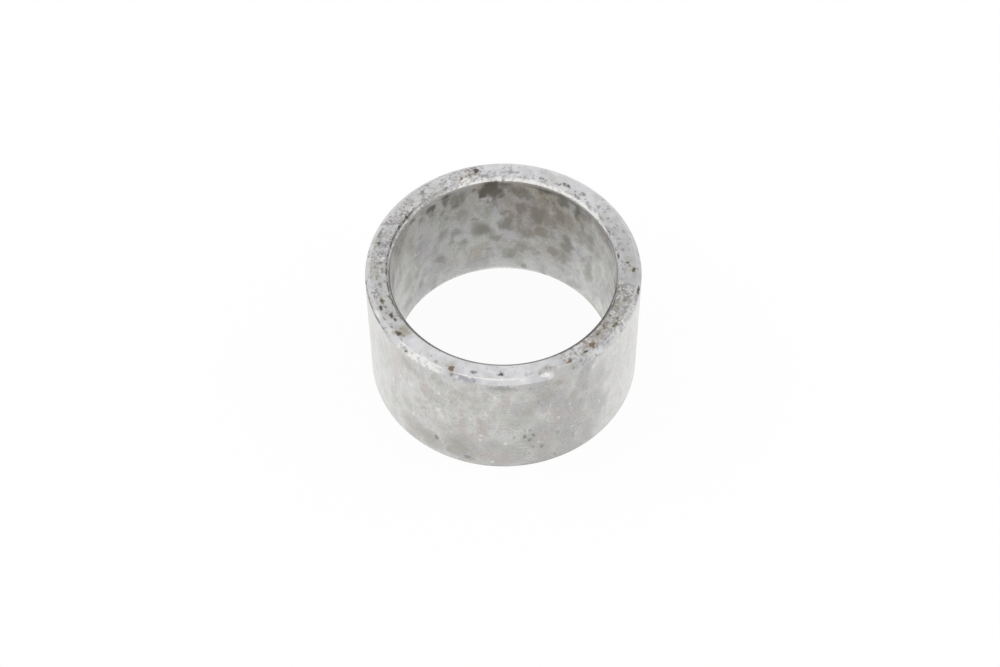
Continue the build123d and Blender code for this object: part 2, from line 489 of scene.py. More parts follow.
BORE_OIL = [
    (97, 28.2, 3.6, 1, 4.0), (93.6, 27.0, 3.0, 0.8, 2.8), (91, 26.0, 1.6, 0.6, 2.4),
    (101, 26.6, 2.0, 1, 2.0), (104.8, 28.8, 1.5, 0.7, 0.9), (90, 29.0, 2.6, 0.55, 2.8),
    (86.5, 28.5, 2.0, 0.5, 3.8), (79, 27.6, 4.6, 0.55, 4.2), (76, 26.0, 3.0, 0.5, 1.6),
    (70, 29.0, 1.6, 0.6, 2.2), (66.5, 29.4, 2.0, 0.75, 1.4), (98, 24.4, 1.2, 0.55, 2.0),
    (94.5, 24.0, 1.6, 0.5, 4.0), (112, 27.5, 2.0, 0.5, 4.6), (115.5, 27.0, 3.6, 0.5, 6.0),
    (130.5, 28.6, 2.6, 0.9, 1.8), (131, 26.8, 1.6, 0.5, 2.6), (121, 29.6, 1.6, 0.8, 1.2),
    (121.5, 28.0, 2.0, 0.65, 2.6), (144, 29.6, 2.4, 0.65, 1.4), (138, 27.0, 2.2, 0.5, 3.2),
    (152, 29.7, 3.8, 0.5, 1.1), (57.5, 28.5, 3.0, 0.6, 3.2), (48, 27.8, 1.9, 0.6, 4.4),
    (42, 28.2, 4.2, 0.4, 3.6), (62.5, 26.0, 1.4, 0.5, 3.2), (66, 27.0, 2.6, 0.4, 4.4),
    (20, 28.6, 4.4, 0.45, 2.2), (26, 29.2, 4.4, 0.35, 1.4), (33, 29.2, 3.4, 0.4, 1.4),
    (109, 28.6, 3.0, 0.4, 2.2),
]
BORE_DROPS = [  # from and to in degrees, how many, lowest and highest in mm, widest in mm, strength
    (35, 160, 70, 21, 30, 2.2, 0.5),
    (30, 150, 45, 8, 22, 2.0, 0.4),
    (45, 72, 14, 22, 30, 3.0, 0.6),
]
NARROWEST_DROP = 0.7  # mm
DROP_TALLNESS = (1.0, 1.8)  # a drop's height, as a share of its width

wash_and_shade = marks(nothing(), in_bore, BORE_WASHES, edge=SOFT)
stain = marks(nothing(), in_bore, BORE_STAINS, edge=RUN)
marks(oil, in_bore, BORE_OIL, edge=RUN)
strew(stain, in_bore, BORE_DROPS, NARROWEST_DROP, DROP_TALLNESS)
print("stained vertices in the bore:", int((stain > 0).sum()))

# %% [markdown]
# ## Marks on the outer wall
#
# The outer wall has rolled on benches and floors. It carries short black nicks, pale flecks where a
# nick has thrown up a burr, olive and brown patches low down at the front, and broad grey washes
# where hands and oil have dulled it. A few of the nick rows and one wash, just under the rim at the
# front, are painted shade. The rows of the nicks and flecks were set with some room round each, so
# one scale for each kind brings them to size.

# %% Mark the outer wall
OUTSIDE_WASHES_AND_SHADE = [  # angle, height mm, width mm, strength, height of the mark in mm
    (-125, 5, 14.0, 0.8, 11.0), (-107, 7, 11.0, 0.8, 13.0), (-91, 6, 11.0, 0.65, 15.0),
    (-75, 10, 11.0, 0.8, 20.0), (-63, 15, 11.0, 0.95, 38.0), (-73, 26, 10.0, 0.85, 16.0),
    # the row at -89.5 degrees and 29.2 mm is a band of painted shade under the rim
    (-55, 26, 8.0, 0.9, 14.0), (-52, 6, 8.0, 0.9, 16.0), (-89.5, 29.2, 9.0, 0.9, 3.0),
    (-132, 27, 10.0, 0.5, 8.0), (-114, 12, 7.0, 0.4, 8.0), (-84, 20, 8.0, 0.6, 14.0),
    (-70, 2, 22.0, 0.85, 5.0), (-50, 22, 12.0, 0.6, 9.0), (-132, 7, 8.0, 0.5, 10.0),
    (-60, 3, 12.0, 0.8, 6.0), (-74, 23, 8.0, 0.5, 10.0), (-48, 13, 10.0, 0.8, 24.0),
]
OUTSIDE_PITS_AND_SHADE = [
    (-119.7, 6.7, 1.4, 1, 2.2), (-125.6, 15.0, 1.5, 0.8, 1.1), (-126.6, 14.4, 0.9, 0.7, 1.0),
    (-111, 16.2, 1.0, 0.8, 1.2), (-120.6, 23.4, 0.7, 0.6, 1.2), (-94.3, 19.2, 0.8, 0.6, 1.8),
    # the row at -97 degrees and 30 mm is painted shade under the rim, not a nick
    (-95.7, 27.2, 1.0, 0.5, 1.0), (-97, 30.0, 1.8, 0.35, 1.2), (-105.6, 3.2, 1.8, 0.8, 2.0),
    (-107, 9.6, 1.6, 0.5, 0.9), (-121.2, 10.6, 1.0, 0.5, 1.8), (-114, 10.6, 2.0, 0.4, 1.0),
    (-97.8, 8.2, 0.9, 0.6, 1.2), (-119.4, 2.6, 1.6, 0.6, 1.2), (-116, 2.4, 1.2, 0.6, 1.0),
    (-81.5, 11.6, 1.1, 1, 2.2), (-77.7, 11.9, 0.9, 1, 2.0), (-79.2, 10.4, 1.4, 0.8, 2.0),
    (-85.8, 11.7, 1.0, 0.7, 1.4), (-81.6, 14.0, 0.8, 0.8, 1.0), (-79.2, 13.8, 1.0, 0.8, 1.8),
    (-77.8, 7.6, 1.0, 0.9, 1.4), (-74.3, 7.1, 1.0, 0.8, 2.4), (-75.4, 16.8, 0.8, 0.6, 1.4),
    (-75.9, 23.6, 0.9, 0.8, 1.8), (-79.4, 5.2, 0.8, 0.7, 1.6), (-67, 10.4, 0.9, 0.9, 1.2),
    (-65.0, 9.2, 0.8, 0.7, 1.6), (-68.2, 2.6, 0.9, 0.9, 1.4), (-64.2, 20.6, 0.8, 0.7, 1.6),
    (-61.4, 18.6, 1.0, 0.6, 1.8), (-55.8, 23.4, 1.3, 0.8, 1.0), (-56.6, 18.4, 1.2, 0.8, 1.2),
    (-54.6, 18.6, 0.8, 0.7, 0.9), (-57.4, 9.9, 1.8, 0.8, 1.1), (-60.3, 7.6, 1.0, 0.7, 2.6),
    (-60.8, 13.0, 0.7, 0.6, 1.4), (-60.4, 12.0, 0.8, 0.5, 1.2), (-68.2, 25.4, 1.0, 0.6, 1.8),
    # the rows at -87.3, -84.6 and -92.4 degrees, near 30 mm, are painted shade under the rim
    (-87.3, 30.2, 1.6, 0.35, 1.2), (-75.4, 27.4, 1.2, 0.6, 1.4), (-79.6, 28.8, 1.0, 0.7, 1.4),
    (-84.6, 29.0, 3.0, 0.3, 1.2), (-92.4, 29.6, 4.0, 0.3, 0.9), (-129.6, 28.8, 1.8, 0.5, 1.0),
    (-134.6, 31.0, 1.0, 0.7, 1.6), (-141.6, 25.4, 1.8, 0.3, 1.6), (-45.6, 24.4, 1.3, 0.6, 1.0),
    (-38, 24.6, 1.6, 0.8, 1.0), (-107.6, 27.4, 1.0, 0.5, 1.4), (-99.4, 11.4, 0.9, 0.6, 1.2),
    (-92.4, 11.4, 0.9, 0.5, 1.4), (-72.6, 6.0, 0.8, 0.6, 1.2), (-62.8, 11.6, 0.8, 0.5, 1.4),
    (-113.2, 4.4, 1.2, 0.5, 3.0),
]
OUTSIDE_FLECKS = [
    (-132.4, 20.8, 2.0, 0.6, 2.6), (-137.9, 20.8, 0.9, 0.8, 1.6), (-131.6, 10.4, 1.4, 0.7, 2.6),
    (-118.4, 17.2, 1.6, 0.7, 2.4), (-117.6, 23.2, 0.9, 0.8, 2.0), (-116.8, 16.0, 1.8, 0.5, 4.0),
    (-128.6, 14.6, 1.4, 0.5, 1.2), (-123, 26.0, 1.2, 0.5, 1.6), (-93.8, 26.4, 1.0, 0.8, 1.6),
    (-92.0, 25.7, 1.0, 0.6, 1.0), (-88.2, 21.8, 1.8, 0.6, 1.2), (-97.4, 20.2, 1.8, 0.5, 1.4),
    (-104.4, 17.6, 1.6, 0.6, 1.2), (-89.6, 9.6, 0.9, 0.9, 1.6), (-99.4, 12.2, 1.0, 0.8, 1.4),
    (-100, 10.6, 0.8, 0.7, 1.2), (-75.6, 9.2, 0.9, 0.7, 1.8), (-67, 15.8, 1.2, 0.6, 2.2),
    (-66.6, 26.6, 1.8, 0.4, 1.6), (-61.8, 19.0, 0.8, 0.8, 1.6), (-50.4, 28.0, 1.6, 0.6, 1.8),
    (-82, 26.6, 2.6, 0.4, 0.9), (-80.4, 3.8, 1.8, 0.4, 1.6), (-95, 3.0, 1.4, 0.7, 1.4),
    (-46.4, 13.6, 1.0, 0.5, 2.6), (-49.4, 9.6, 0.8, 0.5, 2.4), (-43.8, 9.4, 0.9, 0.5, 3.0),
    (-67.6, 12.2, 2.2, 0.3, 1.0), (-143, 17, 1.2, 0.5, 3.0), (-90, 17.6, 3.4, 0.3, 1.8),
    (-60.4, 10.6, 0.8, 0.5, 1.0), (-106.6, 4.0, 1.4, 0.5, 1.4), (-103, 26.6, 2.2, 0.3, 2.0),
    (-71, 21.0, 1.2, 0.5, 1.8), (-122, 23.6, 0.8, 0.5, 1.2), (-115.6, 25.0, 0.9, 0.5, 1.0),
]
OUTSIDE_OIL = [
    (-109, 6.8, 4.4, 0.5, 5.0), (-106.4, 5.8, 2.4, 0.6, 1.4), (-111.6, 4.4, 3.2, 0.6, 3.4),
    (-125, 6.4, 4.4, 0.4, 4.0), (-118.4, 28.0, 3.2, 0.35, 3.6), (-102.4, 25.0, 3.6, 0.3, 2.8),
    (-98.6, 24.0, 4.2, 0.25, 4.4), (-107.4, 21.0, 3.0, 0.25, 4.0), (-134, 27.6, 3.0, 0.4, 3.4),
    (-134.6, 12.6, 3.0, 0.3, 4.6), (-67.6, 28.6, 2.4, 0.6, 1.8), (-60.4, 22.0, 2.2, 0.45, 4.0),
    (-80, 20.4, 2.2, 0.35, 3.8), (-71.6, 24.6, 2.8, 0.4, 4.4), (-104.4, 2.9, 1.8, 0.6, 1.8),
    (-131, 6, 5.0, 0.4, 5.0), (-122, 3, 4.0, 0.4, 3.0), (-55.4, 13.0, 2.4, 0.3, 3.6),
]
NICK_SCALE = 0.9
FLECK_SCALE = 0.7

marks(wash_and_shade, on_outside, OUTSIDE_WASHES_AND_SHADE, edge=SOFT)
marks(pits_and_shade, on_outside, OUTSIDE_PITS_AND_SHADE, scale=NICK_SCALE)
marks(oil, on_outside, OUTSIDE_OIL)
burnish_and_glint = marks(nothing(), on_outside, OUTSIDE_FLECKS, scale=FLECK_SCALE)
print("nicks and flecks on the outer wall:", len(OUTSIDE_PITS_AND_SHADE) + len(OUTSIDE_FLECKS))

# %% [markdown]
# ## The cast of the film
#
# The dry film of oil on the ring is too thin to be a colour of its own, but it tints the grey of the
# steel: olive where it is thicker, rose or lavender where it is thin. The tints are soft patches,
# set one by one where they show. A field below a tenth can't be seen, and isn't counted.

# %% Tint the film
SHOWS = 0.1
OUTSIDE_OLIVE = [
    (-107, 26, 3.5, 0.9, 7.0), (-101.5, 22, 3.0, 0.8, 7.0), (-92, 27.6, 5.0, 0.5, 1.4),
    (-88, 17.5, 4.0, 0.7, 5.0), (-78, 22, 3.0, 0.7, 10.0), (-85, 7, 7.0, 0.7, 8.0),
    (-125, 5, 5.0, 0.8, 6.0), (-134, 27, 3.4, 0.6, 5.4), (-118, 27.5, 4.4, 0.6, 5.0),
    (-134, 12.5, 3.4, 0.8, 4.4), (-141, 9, 5.0, 0.6, 10.0), (-147, 22, 5.0, 0.6, 12.0),
    (-60, 21.5, 3.0, 0.8, 5.0), (-57, 14, 3.5, 0.7, 5.0), (-67, 8, 3.0, 0.8, 10.0),
    (-70, 27.5, 4.0, 0.8, 4.0), (-109, 7, 6.0, 0.6, 6.0), (-112, 20, 3.0, 0.5, 6.0),
]
OUTSIDE_ROSE = [
    (-99.5, 15, 4.0, 0.8, 8.0), (-108, 14, 3.0, 0.8, 6.0), (-97, 5, 6.0, 0.7, 6.0),
    (-124, 22, 5.0, 0.8, 8.0), (-139, 29, 4.0, 0.6, 3.0), (-139.5, 24, 5.0, 0.7, 8.0),
    (-133, 5, 5.0, 0.7, 6.0), (-81, 21, 3.0, 0.6, 4.0), (-69, 18, 3.0, 0.7, 8.0),
    (-54, 6, 6.0, 0.4, 8.0), (-57, 25, 5.0, 0.4, 6.0), (-40, 12, 8.0, 0.2, 14.0),
    (-90, 24, 3.0, 0.7, 5.0), (-129, 17, 4.0, 0.5, 5.0), (-74, 5, 4.0, 0.5, 6.0),
]
BORE_OLIVE = [
    (98, 21, 3.0, 0.8, 8.0), (115, 27, 4.0, 0.9, 6.0), (88, 6.5, 4.5, 0.7, 5.0),
    (47, 26, 3.0, 0.8, 5.0), (37, 24, 4.0, 0.7, 6.0), (38, 12, 4.0, 0.6, 10.0), (30, 20, 5.0, 0.5, 8.0),
    (147, 22, 5.0, 0.7, 8.0), (152, 12, 5.0, 0.6, 8.0), (124, 22, 4.0, 0.7, 4.0),
    (101, 15, 4.0, 0.7, 5.0), (130, 28, 3.0, 0.8, 3.0), (92, 28, 6.0, 0.8, 4.0),
]
BORE_ROSE = [
    (112, 22, 3.0, 0.9, 3.4), (143, 11, 3.0, 0.7, 4.0), (135, 9, 5.0, 0.7, 5.0),
    (126, 7, 8.0, 0.6, 8.0), (140, 4, 12.0, 0.6, 6.0), (28, 28, 4.0, 0.7, 4.0), (45, 15, 4.0, 0.6, 6.0),
    (25, 12, 10.0, 0.5, 14.0), (108, 4, 8.0, 0.7, 4.0), (60, 6, 5.0, 0.7, 4.0),
    (136, 18, 5.0, 0.7, 8.0),
]
END_OLIVE = [
    (-142, 24.2, 4.0, 0.8, 2.0), (-114, 24.8, 3.0, 0.25, 2.4), (65, 25.2, 5.0, 0.5, 2.4),
    (165, 26.4, 5.0, 0.7, 2.4), (-177, 25, 5.0, 0.6, 3.0), (-60, 27, 3.0, 0.5, 1.2),
    (-22, 24.4, 4.0, 0.6, 2.0), (149, 23.6, 3.4, 0.9, 1.8), (59, 24.6, 3.0, 0.6, 1.6),
]
END_ROSE = [
    (-107, 27.1, 7.0, 1, 2.4), (-95, 27.2, 4.0, 0.4, 1.0), (-53.5, 27.2, 3.0, 0.7, 0.9),
    (-41, 26.9, 3.0, 0.45, 1.2), (-124, 25.3, 4.0, 0.25, 2.4), (-98, 25.5, 3.4, 0.2, 2.0),
    (-84, 25.5, 3.4, 0.2, 2.0), (-64.5, 25.3, 3.4, 0.4, 2.4), (-157, 26.6, 3.0, 0.5, 1.0),
    (85.5, 24.5, 2.4, 0.6, 1.6), (-103, 25.6, 1.8, 0.5, 1.2), (91, 23.2, 2.4, 0.5, 0.8),
    (30, 25.5, 4.0, 0.3, 2.4), (110, 26, 4.0, 0.3, 2.0),
]
olive = marks(nothing(), on_outside, OUTSIDE_OLIVE, edge=SOFT)
marks(olive, in_bore, BORE_OLIVE, edge=SOFT)
marks(olive, on_upper_end, END_OLIVE, edge=SOFT)
rose = marks(nothing(), on_outside, OUTSIDE_ROSE, edge=SOFT)
marks(rose, in_bore, BORE_ROSE, edge=SOFT)
marks(rose, on_upper_end, END_ROSE, edge=SOFT)
print("tinted vertices:", int((olive > SHOWS).sum()), "olive,", int((rose > SHOWS).sum()), "rose")

# %% [markdown]
# ## The side that is turned away
#
# The back of the outer wall, the near side of the bore and the lower end are worn in the same way,
# but nothing in particular happened there. So they get marks of the same kinds and sizes at random
# places. The second generator keeps its own count, so a change here moves nothing set before.

# %% Plain wear on the hidden stretches
BACK = (-25, 192)  # degrees
NEAR_BORE = (-190, 5)
HIDDEN = [  # field, surface, stretch, how many, widths and heights in mm, strongest, edge
    (wash_and_shade, on_outside, BACK, 12, (6, 11), (8, 16), 0.5, SOFT),
    (pits_and_shade, on_outside, BACK, 60, (0.8, 1.8), (1.0, 2.0), 0.8, CRISP),
    (oil, on_outside, BACK, 14, (2.0, 4.5), (2.0, 5.0), 0.45, CRISP),
    (burnish_and_glint, on_outside, BACK, 70, (0.6, 1.5), (0.7, 1.9), 0.7, CRISP),
    (wash_and_shade, in_bore, NEAR_BORE, 10, (7, 12), (8, 20), 0.7, SOFT),
    (stain, in_bore, NEAR_BORE, 60, (1.6, 4.2), (2.0, 5.4), 0.85, RUN),
    (olive, on_outside, BACK, 24, (3, 6), (4, 10), 0.9, SOFT),
    (rose, on_outside, BACK, 24, (3, 6), (4, 8), 0.8, SOFT),
    (olive, in_bore, NEAR_BORE, 14, (3, 5), (4, 8), 0.8, SOFT),
    (rose, in_bore, NEAR_BORE, 14, (3, 8), (3, 8), 0.7, SOFT),
]
MARGIN = 2.0  # mm kept free at each end
HIDDEN_FAINTEST = 0.4
HIDDEN_SEED = 5

later_chance = random.Random(HIDDEN_SEED)
for field, where, stretch, count, widths, heights, strongest, edge in HIDDEN:
    for _ in range(count):
        place = where(later_chance.uniform(*stretch), later_chance.uniform(MARGIN, length / MM - MARGIN))
        width, tall = later_chance.uniform(*widths) * MM, later_chance.uniform(*heights) * MM
        mark(field, place, width, strongest * later_chance.uniform(HIDDEN_FAINTEST, 1), tall, edge)
print("marks on the hidden stretches:", sum(row[3] for row in HIDDEN))

# %% [markdown]
# ## Tone from stretch to stretch
#
# A long stretch of the face at the front, from a stain at -140 degrees to the start of the rust at
# -75, is lighter than the rest, and the far side is nearly as light: partly cleaner steel, and partly
# a painted sheen, the brightness that the facing grooves give where they run across the view. The
# rest has gone dull. The stretch on the right ends at a straight line across the face, where
# something lay against it. The rim, the lip of the bore and the bore itself each have a tone of their
# own, because the rubbing that polished them was not the same. A tone changes slowly round the ring,
# so it is a curve over the angle.

# %% Tone and crust by angle
# a low share is partly a painted sheen, which lightens the face at the front and the back
FACE_TONE_AND_SHEEN = [  # angle, share of the dull tone
    (-180, 0.65), (-142, 0.6), (-139, 0.0), (-121, 0.1), (-112, 0.25), (-98, 0.0), (-82, 0.0),
    (-70, 0.35), (-52, 0.4), (-30, 0.6), (-9.2, 0.85), (-8.6, 0.8), (12, 0.75), (30, 0.55), (47, 0.25),
    (70, 0.25), (98, 0.05), (106, 0.35), (150, 0.5), (180, 0.65),
]
RIM_TONE = [  # all the other tables have the same two values
    (-180, 0.35), (-158, 0.3), (-140, 0.15), (-125, 0.2), (-112, 0.3), (-104, 0.1), (-98, 0.0),
    (-82, 0.0), (-75, 0.25), (-60, 0.7), (-45, 0.2), (-30, 0.15), (-15, 0.6), (0, 0.6), (40, 0.2),
    (100, 0.2), (180, 0.25),
]
LIP_TONE = [
    (-180, 0.6), (-140, 0.8), (-30, 0.8), (-10, 0.15), (8, 0.1), (22, 0.25), (33, 0.45), (45, 0.1),
    (78, 0.1), (88, 0.25), (96, 0.1), (107, 0.05), (116, 0.5), (125, 0.85), (143, 1.0), (165, 0.8),
    (180, 0.6),
]
BORE_TONE = [
    (-180, 0.55), (-90, 0.65), (0, 0.1), (14, 0.0), (22, 0.03), (30, 0.3), (40, 0.36), (52, 0.5),
    (68, 0.62), (76, 0.58), (88, 0.6), (110, 0.63), (127, 0.64), (142, 0.56), (157, 0.38), (168, 0.3),
    (180, 0.55),
]
CRUST = [  # angle, how thick the fine specks lie
    (-180, 0.8), (-162, 0.7), (-142, 0.6), (-138, 0.1), (-78, 0.1), (-64, 0.7), (-50, 1.0), (-9.2, 1.1),
    (-8.6, 0.25), (95, 0.3), (103, 0.9), (180, 0.8),
]
OUTSIDE_CRUST = [
    (-180, 0.1), (-145, 0.1), (-128, 0.8), (-55, 1.0), (-40, 0.1), (0, 0.3), (90, 0.8), (180, 0.1),
]
RIM_CRUST = [
    (-180, 0.5), (-142, 0.4), (-80, 0.4), (-68, 0.7), (-50, 0.5), (-20, 0.5), (-10, 0.8), (-5, 0.3),
    (180, 0.5),
]


def by_angle(rows):
    """A value for every vertex from its angle, in straight lines between the rows."""
    return np.interp(angles, *zip(*rows))


HAIR = 0.05 * MM  # keeps the vertices on an edge with the flat face beside it
near_top = points[:, 2] > high.z - outer_chamfer - EDGE_WEAR
near_bottom = points[:, 2] < low.z + outer_chamfer + EDGE_WEAR
rim = near_top & (radii > outer_radius - outer_chamfer + HAIR)
lip = (points[:, 2] > high.z - bore_chamfer - EDGE_WEAR) & (radii < bore_radius + bore_chamfer - HAIR)
bore = (radii < bore_radius + EDGE_WEAR) & ~near_top & ~near_bottom
tones = [by_angle(rows) for rows in (RIM_TONE, LIP_TONE, BORE_TONE)]
dull_and_sheen = np.select([rim, lip, bore], tones, by_angle(FACE_TONE_AND_SHEEN))
crust = np.where(near_top | near_bottom, by_angle(CRUST), by_angle(OUTSIDE_CRUST))
crust[rim] *= by_angle(RIM_CRUST)[rim]
print("vertices on rim, lip and bore:", int(rim.sum()), int(lip.sum()), int(bore.sum()))

# %% [markdown]
# ## The bruised rim
#
# The outer chamfer has taken the knocks. From -139 to -112 degrees it is bruised to a crumbly
# bright band. A bruise is a dent with a freshly scraped, brighter skin, so it gets both a depth and
# a burnish. Two noises shape it: a coarse one for the knocks, which sets the depth as well, and a
# finer one for the chips between them.

# %% Bruise the rim
KNOCK_SIZE = 0.7 * MM
CHIP_SIZE = 0.4 * MM
BRUISE = [(-141, 0), (-137, 1), (-122, 1), (-117, 0.6), (-112.5, 0)]
SCRAPED = 0.5  # how bright a bruise is where both noises are at their middle
KNOCK_SHINE = 1.6  # how much brighter a full knock makes it
CHIP_SHINE = 1.3  # and a full chip

knocks = np.array([noise.noise(Vector(point) / KNOCK_SIZE) for point in points])
chips = np.array([noise.noise(Vector(point) / CHIP_SIZE) for point in points])
bruised = by_angle(BRUISE) * rim
burnish_and_glint = np.maximum(burnish_and_glint, bruised * np.clip(SCRAPED + KNOCK_SHINE * knocks + CHIP_SHINE * chips, 0, 1))
print("bruised vertices:", int((bruised > 0).sum()))

# %% [markdown]
# ## Edges rubbed bright, and painted highlights
#
# Whatever the ring rubs on meets its edges first. The lines along the inner edge of the outer
# chamfer at the front, and round the far lip of the bore, are painted highlights: they stand for the
# bright tent mirrored in those rounded edges, laid over a little real rubbing. A line of small marks
# would look beaded, so a line is a field of its own, which falls off with the distance from a circle
# and is broken up by the noise of the knocks. Single bright spots, such as the chip at -73, are marks
# again: the chips are bare metal, and the spots along the far lip of the bore are more painted highlight.

# %% Burnish the edges and paint their highlights
LINE_SLOPE = 2  # steep enough for the middle half of a line to be full
BREAK_SLOPE = 3  # how sharply the knocks break it up


def line(field, radius_mm, width_mm, breaks, rows):
    """Raise a field along a circle of the upper end, as strongly as the rows of angles say.

    Breaks is the share of its strength that the line loses where it is broken.
    """
    away = np.abs(radii - radius_mm * MM) / (width_mm * MM / 2)
    strength = by_angle(rows) * np.clip(LINE_SLOPE * (1 - away), 0, 1) * near_top
    kept = 1 - breaks * (1 - np.clip(0.5 + BREAK_SLOPE * knocks, 0, 1))
    np.maximum(field, strength * kept, out=field)


rim_edge = (outer_radius - outer_chamfer) / MM
lip_edge = (bore_radius + bore_chamfer) / MM
bore_edge = bore_radius / MM
# the shines are painted highlights along the rounded edges, over a little real rubbing
SHINES = [  # radius mm, width mm, share broken, and rows of angle and strength
    (rim_edge + 0.2, 0.35, 0.4, [
        (-139, 0), (-136, 0.9), (-118, 0.8), (-113, 0), (-109, 0.7), (-97, 1), (-85, 0.9), (-79, 0),
    ]),
    (bore_edge + 0.2, 0.7, 0.6, [
        (15, 0), (35, 0.8), (60, 0.8), (108, 0.8), (118, 0.4), (165, 0.2), (180, 0),
    ]),
    (bore_edge + 0.45, 0.5, 0.6, [(125, 0), (140, 0.6), (175, 0.6), (180, 0.3)]),
    (bore_edge + 0.45, 0.5, 0.6, [(-180, 0.3), (-165, 0.5), (-145, 0)]),
]
# the spots along the far lip of the bore, at about 23 mm, are painted highlight; the others, such as the
# chip at -72.6, are bare metal
BRIGHT_SPOTS = [  # angle, radius mm, width mm, strength, height of the mark in mm
    (-72.6, 26.7, 2.0, 1, 0.7), (-109.5, 27.1, 1.0, 0.5), (109.2, 23.3, 1.6, 0.9),
    (108, 22.9, 2.2, 0.7), (112, 22.9, 1.4, 0.6), (45, 22.95, 3.6, 0.8, 0.8), (56, 23.0, 4.0, 0.8, 0.8),
    (64, 23.0, 3.0, 0.7, 0.7), (36, 23.0, 3.4, 0.7, 0.7), (75, 23.0, 3.4, 0.6, 0.7),
    (91, 23.2, 2.2, 0.6, 0.8), (84, 23.1, 2.4, 0.5, 0.7), (100, 23.0, 3.0, 0.6, 0.7),
    (-119, 27.3, 2.0, 0.6, 0.8), (174.5, 24.3, 1.4, 0.5, 0.8), (-157, 26.9, 1.4, 0.5),
    (-155.5, 27.0, 0.9, 0.6), (-121, 26.9, 1.6, 0.6), (-125.6, 26.8, 1.3, 0.6), (-104, 26.6, 1.2, 0.5),
    (-82, 26.9, 1.4, 0.5), (153.6, 24.0, 1.0, 0.5), (-9, 23.5, 1.2, 0.5), (-54, 24.1, 1.6, 0.3),
    (-145.4, 26.6, 1.2, 0.6), (-70.4, 27.0, 1.6, 0.4),
]
for shine in SHINES:
    line(burnish_and_glint, *shine)
marks(burnish_and_glint, on_upper_end, BRIGHT_SPOTS)
print("burnished vertices:", int((burnish_and_glint > SHOWS).sum()))

# %% [markdown]
# ## Painted shade along the edges
#
# Dark lines of painted shade run along both edges of the bore's chamfer, thickest on the left and at
# the front, and along the outer edge on the left. A soft band of it lies under the rim at the front,
# and two thin lines of it run round the walls, one in the bore just under its lip and one at the low
# edge of the outside, under the lower chamfer. The lines on the walls follow a height, not a radius,
# so they have a function of their own.

# %% Painted shade along the edges
# painted shade: dark lines along the edges of the bore's chamfer, and along the outer edge on the left
END_EDGE_SHADE = [  # radius mm, width mm, share broken, and rows of angle and strength
    (lip_edge - 0.3, 0.4, 0.6, [
        (-180, 0.9), (-177, 0.8), (-176, 0.2), (-173, 0.2), (-172, 0.9), (-167, 0.8), (-166, 0.2),
        (-164, 0.2), (-163, 0.9), (-158, 0.7), (-157, 0.2), (-30, 0.3), (0, 0),
    ]),
    (lip_edge - 0.25, 0.5, 0.6, [(135, 0), (143, 0.8), (153, 1), (180, 0.9)]),
    (bore_edge + 0.1, 0.5, 0.0, [
        (-180, 0.5), (-150, 0.5), (-135, 1), (-30, 1), (-12, 0.5), (0, 0.3), (20, 0.4), (30, 0), (165, 0),
    ]),
    (outer_radius / MM - 0.2, 0.4, 0.4, [(-178, 0), (-174, 0.7), (-148, 0.7), (-143, 0)]),
]
# painted shade: a soft band under the rim at the front
OUTSIDE_RIM_SHADE = [(-90.5, 29.5, 9.0, 0.6, 1.3), (-97, 30, 2.0, 0.5, 1.0)]
# painted shade: a thin line just under the bore's lip
LIP_LINE_DROP = 1.8 * MM  # below the upper face
LIP_LINE_FADE = 0.3 * MM
LIP_LINE = [
    (8, 0), (20, 0.3), (40, 0.5), (48, 0.9), (67, 1), (74, 0.6), (84, 0.3), (89, 0.8), (99, 0.8),
    (104, 0.3), (112, 0.2), (118, 0.7), (122, 0.6), (127, 0.2), (150, 0.3), (165, 0),
]
# painted shadow: a thin line under the lower chamfer
LOW_LINE_RISE = 1.15 * MM  # above the floor
LOW_LINE_FADE = 0.25 * MM
LOW_LINE = [(-128, 0), (-116, 0.3), (-90, 0.6), (-60, 0.7), (-48, 0.2), (-40, 0)]


def level_line(height, fade, wall, rows):
    """A line round a wall, full to one fade from its height, and gone at two."""
    away = np.abs(height - points[:, 2]) / fade
    return np.clip(2 - away, 0, 1) * wall * by_angle(rows)


edge_shade = nothing()
for corner in END_EDGE_SHADE:
    line(edge_shade, *corner)
marks(edge_shade, on_outside, OUTSIDE_RIM_SHADE, edge=SOFT)
outside = radii > outer_radius - EDGE_WEAR
edge_shade += level_line(high.z - LIP_LINE_DROP, LIP_LINE_FADE, bore, LIP_LINE)
edge_shade += level_line(low.z + LOW_LINE_RISE, LOW_LINE_FADE, outside, LOW_LINE)
print("grimy vertices:", int((edge_shade > SHOWS).sum()))

# %% [markdown]
# ## Into the mesh
#
# Pits and bruises could be bumps in the material alone, but then the exported ring would be smooth.
# So they move the vertices, inwards along the normal and never outwards, and the ring keeps its
# size. Each field is then kept on the mesh as an attribute with one value to a vertex, which the
# materials read by name.

# %% Sink the marks and keep them as attributes
PIT_DEPTH = 0.10 * MM
STAIN_DEPTH = 0.03 * MM
KNOCK_DEPTH = 0.22 * MM
KNOCK_BIAS = 0.15  # lets a bruise sink a little between its knocks too
on_bore_wall = (radii < bore_radius + EDGE_WEAR) & ~near_top
depth = (
    PIT_DEPTH * pits_and_shade + STAIN_DEPTH * np.maximum(rust, oil) * ~on_bore_wall
    + KNOCK_DEPTH * bruised * np.clip(knocks + KNOCK_BIAS, 0, 1)
)
normals = np.array([vertex.normal for vertex in mesh.vertices])
sunk = points - normals * depth[:, None]
mesh.vertices.foreach_set("co", sunk.astype(np.float32).ravel())
fields = {
    "pit_and_shade": pits_and_shade, "rust": rust, "oil": oil, "stain": stain, "wash_and_shade": wash_and_shade,
    "dull_and_sheen": dull_and_sheen, "crust": crust, "burnish_and_glint": burnish_and_glint, "edge_shade": edge_shade, "olive": olive, "rose": rose,
}
for name, values in fields.items():
    mesh.attributes.new(name, "FLOAT", "POINT").data.foreach_set("value", values.astype(np.float32))
mesh.update()
